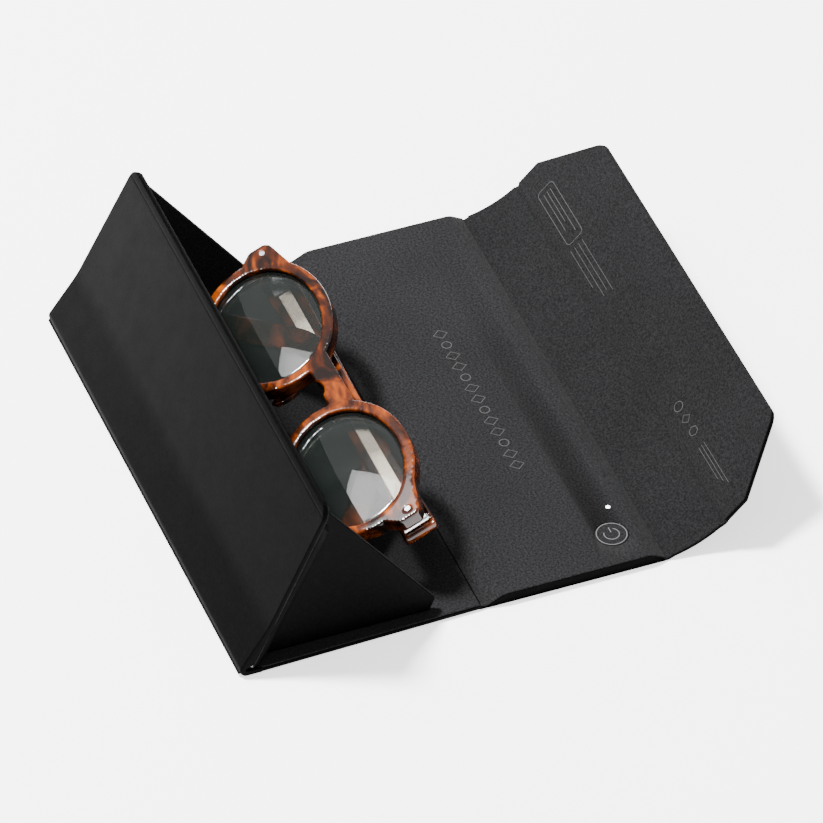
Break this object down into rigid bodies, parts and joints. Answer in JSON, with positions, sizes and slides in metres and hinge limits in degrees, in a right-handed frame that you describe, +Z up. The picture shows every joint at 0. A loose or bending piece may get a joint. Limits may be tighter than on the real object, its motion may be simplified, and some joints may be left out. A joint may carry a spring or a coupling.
{
  "type": "smart eyewear case with glasses",
  "caption": "Collapsible triangular smart eyewear case, lying open, with lid electronics and tortoiseshell acetate glasses in its pocket",
  "frame": {"origin": "centre of the base panel's underside", "axes": "+X to the wearer's left along the folds, +Y from the wall fold across the base to the lid, +Z up"},
  "size_m": [0.1686, 0.1779, 0.0568],
  "materials": {
    "black_leather": "fine grain, satin",
    "grey_board": "matt",
    "charcoal_felt": "short felt",
    "bright_steel": "satin",
    "black_plastic": "matt",
    "green_laminate": "satin",
    "foil": "satin",
    "copper": "polished",
    "ferrite": "matt",
    "light_pipe": "clear, lit",
    "clear_lens": "polished",
    "tortoiseshell": "polished acetate"
  },
  "bodies": {
    "base": {"base_skin": "black_leather", "base_board": "grey_board", "base_lining": "charcoal_felt", "wall_hinge": "black_leather", "wall_skin": "black_leather", "wall_board": "grey_board", "wall_lining": "charcoal_felt", "wall_magnets": "bright_steel", "left_gusset_panel": "charcoal_felt", "right_gusset_panel": "charcoal_felt", "left_gusset_hinge": "black_leather", "right_gusset_hinge": "black_leather"},
    "lid": {"lid_skin": "black_leather", "lid_tray": "black_plastic", "lid_cover": "black_plastic", "lid_lining": "charcoal_felt", "cover_screws": "bright_steel", "circuit_board": "green_laminate", "battery_cell": "foil", "battery_lead": "copper", "charging_coil": "copper", "coil_shield": "ferrite", "sounder": "black_plastic", "radio_module": "black_plastic", "led_package": "black_plastic", "light_pipe": "light_pipe", "button_switch": "black_plastic"},
    "spine": {"spine_skin": "black_leather", "spine_board": "grey_board", "spine_lining": "charcoal_felt"},
    "flap": {"flap_skin": "black_leather", "flap_board": "grey_board", "flap_lining": "charcoal_felt", "flap_magnets": "bright_steel"},
    "key": {"power_button": "charcoal_felt"},
    "rest": {"glasses_rest": "charcoal_felt"},
    "glasses": {"front_frame": "tortoiseshell", "left_lens": "clear_lens", "right_lens": "clear_lens", "left_nose_pad": "tortoiseshell", "right_nose_pad": "tortoiseshell", "left_front_hinge": "bright_steel", "right_front_hinge": "bright_steel", "left_rivet": "bright_steel", "right_rivet": "bright_steel", "left_hinge_screw": "bright_steel", "right_hinge_screw": "bright_steel"},
    "left_arm": {"left_temple": "tortoiseshell", "left_temple_core": "bright_steel", "left_temple_hinge": "bright_steel"},
    "right_arm": {"right_temple": "tortoiseshell", "right_temple_core": "bright_steel", "right_temple_hinge": "bright_steel"}
  },
  "joints": [
    {"name": "lid_fold", "type": "hinge", "parent": "base", "child": "lid", "pos_m": [0, 0.03955, 0.001], "axis": [1, 0, 0], "range_deg": [0, 125.5]},
    {"name": "spine_fold", "type": "hinge", "parent": "lid", "child": "spine", "pos_m": [0, 0.09895, 0.001], "axis": [1, 0, 0], "range_deg": [-25, 0]},
    {"name": "flap_fold", "type": "hinge", "parent": "spine", "child": "flap", "pos_m": [0, 0.11662, 0.00924], "axis": [1, 0, 0], "range_deg": [-21.4, 72.6]},
    {"name": "button_press", "type": "slide", "parent": "lid", "child": "key", "axis": [0, 0, -1], "range_m": [0, 0.0003], "stiffness_N_per_m": 800},
    {"name": "rest_slide", "type": "slide", "parent": "base", "child": "rest", "axis": [0, -1, 0], "range_m": [0, 0.0203]},
    {"name": "glasses_lift", "type": "slide", "parent": "rest", "child": "glasses", "axis": [0, 0.5, 0.866], "range_m": [0, 0.28]},
    {"name": "left_temple_fold", "type": "hinge", "parent": "glasses", "child": "left_arm", "pos_m": [0.0625, 0.02449, 0.02234], "axis": [0, -0.9063, -0.4226], "range_deg": [0, 91.5]},
    {"name": "right_temple_fold", "type": "hinge", "parent": "glasses", "child": "right_arm", "pos_m": [-0.0585, 0.02449, 0.02234], "axis": [0, 0.9063, 0.4226], "range_deg": [0, 88.5]}
  ],
  "couplings": [
    {"joint": "rest_slide", "follows": "lid_fold", "m_per_rad": 0.009267},
    {"joint": "left_temple_fold", "follows": "glasses_lift", "rad_per_m": 1.12},
    {"joint": "right_temple_fold", "follows": "glasses_lift", "rad_per_m": 5.51}
  ]
}
